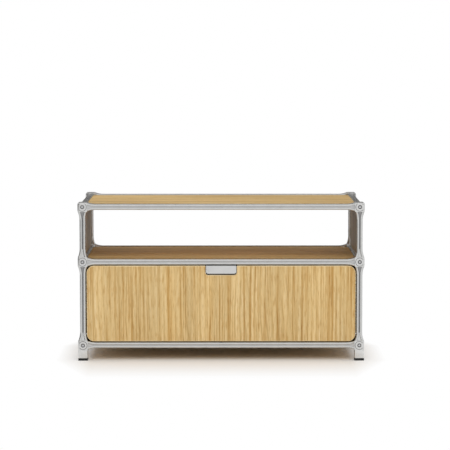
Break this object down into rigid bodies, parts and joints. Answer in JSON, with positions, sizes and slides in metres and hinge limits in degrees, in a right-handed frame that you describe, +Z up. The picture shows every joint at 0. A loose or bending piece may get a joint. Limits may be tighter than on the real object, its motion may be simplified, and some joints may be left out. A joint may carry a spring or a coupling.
{
  "type": "hi-fi rack",
  "caption": "Low audio rack: grooved aluminium bar frame with rounded corner connectors, oak panels, an open shelf bay and a cabinet bay with a drop-down oak flap.",
  "frame": {"origin": "on the floor under the centre of the rack", "axes": "+Z up, the flap faces -Y, +X along the rack's width"},
  "size_m": [0.9316, 0.4814, 0.5173],
  "materials": {
    "cast_aluminium": "satin blasted",
    "bar_aluminium": "satin anodised",
    "oak": "oak veneer, satin lacquer",
    "screw_steel": "satin",
    "stay_steel": "nickel plated",
    "stay_grey": "satin grey",
    "black_rubber": "matt black",
    "catch_plastic": "matt black",
    "bush_plastic": "matt black"
  },
  "bodies": {
    "frame": {"connector_front_left_bottom": "cast_aluminium", "connector_front_right_bottom": "cast_aluminium", "connector_rear_left_bottom": "cast_aluminium", "connector_rear_right_bottom": "cast_aluminium", "connector_front_left_middle": "cast_aluminium", "connector_front_right_middle": "cast_aluminium", "connector_rear_left_middle": "cast_aluminium", "connector_rear_right_middle": "cast_aluminium", "connector_front_left_top": "cast_aluminium", "connector_front_right_top": "cast_aluminium", "connector_rear_left_top": "cast_aluminium", "connector_rear_right_top": "cast_aluminium", "post_upper_front_left": "bar_aluminium", "post_lower_front_left": "bar_aluminium", "post_upper_front_right": "bar_aluminium", "post_lower_front_right": "bar_aluminium", "post_upper_rear_left": "bar_aluminium", "post_lower_rear_left": "bar_aluminium", "post_upper_rear_right": "bar_aluminium", "post_lower_rear_right": "bar_aluminium", "width_rail_front_bottom": "bar_aluminium", "width_rail_rear_bottom": "bar_aluminium", "depth_rail_left_bottom": "bar_aluminium", "depth_rail_right_bottom": "bar_aluminium", "width_rail_front_middle": "bar_aluminium", "width_rail_rear_middle": "bar_aluminium", "depth_rail_left_middle": "bar_aluminium", "depth_rail_right_middle": "bar_aluminium", "width_rail_front_top": "bar_aluminium", "width_rail_rear_top": "bar_aluminium", "depth_rail_left_top": "bar_aluminium", "depth_rail_right_top": "bar_aluminium", "frame_screws": "screw_steel", "frame_studs": "screw_steel", "panel_pins": "screw_steel", "foot_blocks": "cast_aluminium", "foot_pads": "black_rubber", "flap_sag_pad": "black_rubber", "top_panel": "oak", "shelf_panel": "oak", "bottom_panel": "oak", "back_panel": "oak", "side_panel_upper_left": "oak", "side_panel_lower_left": "oak", "stay_housing_left": "stay_grey", "side_panel_upper_right": "oak", "side_panel_lower_right": "oak", "stay_housing_right": "stay_grey", "magnet_catches": "catch_plastic", "hinge_pins": "screw_steel"},
    "flap": {"flap_panel": "oak", "flap_grip": "bar_aluminium", "grip_screws": "screw_steel", "hinge_bushes": "bush_plastic", "flap_brackets": "stay_steel", "strike_plates": "stay_steel"},
    "stay_arm_left": {"stay_arm_left": "stay_steel"},
    "stay_link_left": {"stay_link_left": "stay_steel"},
    "stay_arm_right": {"stay_arm_right": "stay_steel"},
    "stay_link_right": {"stay_link_right": "stay_steel"}
  },
  "joints": [
    {"name": "flap_hinge", "type": "hinge", "parent": "frame", "child": "flap", "pos_m": [0, -0.2235, 0.086], "axis": [1, 0, 0], "range_deg": [0, 90]},
    {"name": "stay_arm_pivot_left", "type": "hinge", "parent": "frame", "child": "stay_arm_left", "pos_m": [-0.43525, -0.1635, 0.186], "axis": [1, 0, 0], "range_deg": [0, 90]},
    {"name": "stay_link_pivot_left", "type": "hinge", "parent": "stay_arm_left", "child": "stay_link_left", "pos_m": [-0.43145, -0.147, 0.281], "axis": [1, 0, 0], "range_deg": [-90, 0]},
    {"name": "stay_arm_pivot_right", "type": "hinge", "parent": "frame", "child": "stay_arm_right", "pos_m": [0.43525, -0.1635, 0.186], "axis": [1, 0, 0], "range_deg": [0, 90]},
    {"name": "stay_link_pivot_right", "type": "hinge", "parent": "stay_arm_right", "child": "stay_link_right", "pos_m": [0.43145, -0.147, 0.281], "axis": [1, 0, 0], "range_deg": [-90, 0]}
  ],
  "couplings": [
    {"joint": "stay_arm_pivot_left", "follows": "flap_hinge", "ratio": 1},
    {"joint": "stay_link_pivot_left", "follows": "flap_hinge", "ratio": -1},
    {"joint": "stay_arm_pivot_right", "follows": "flap_hinge", "ratio": 1},
    {"joint": "stay_link_pivot_right", "follows": "flap_hinge", "ratio": -1}
  ]
}
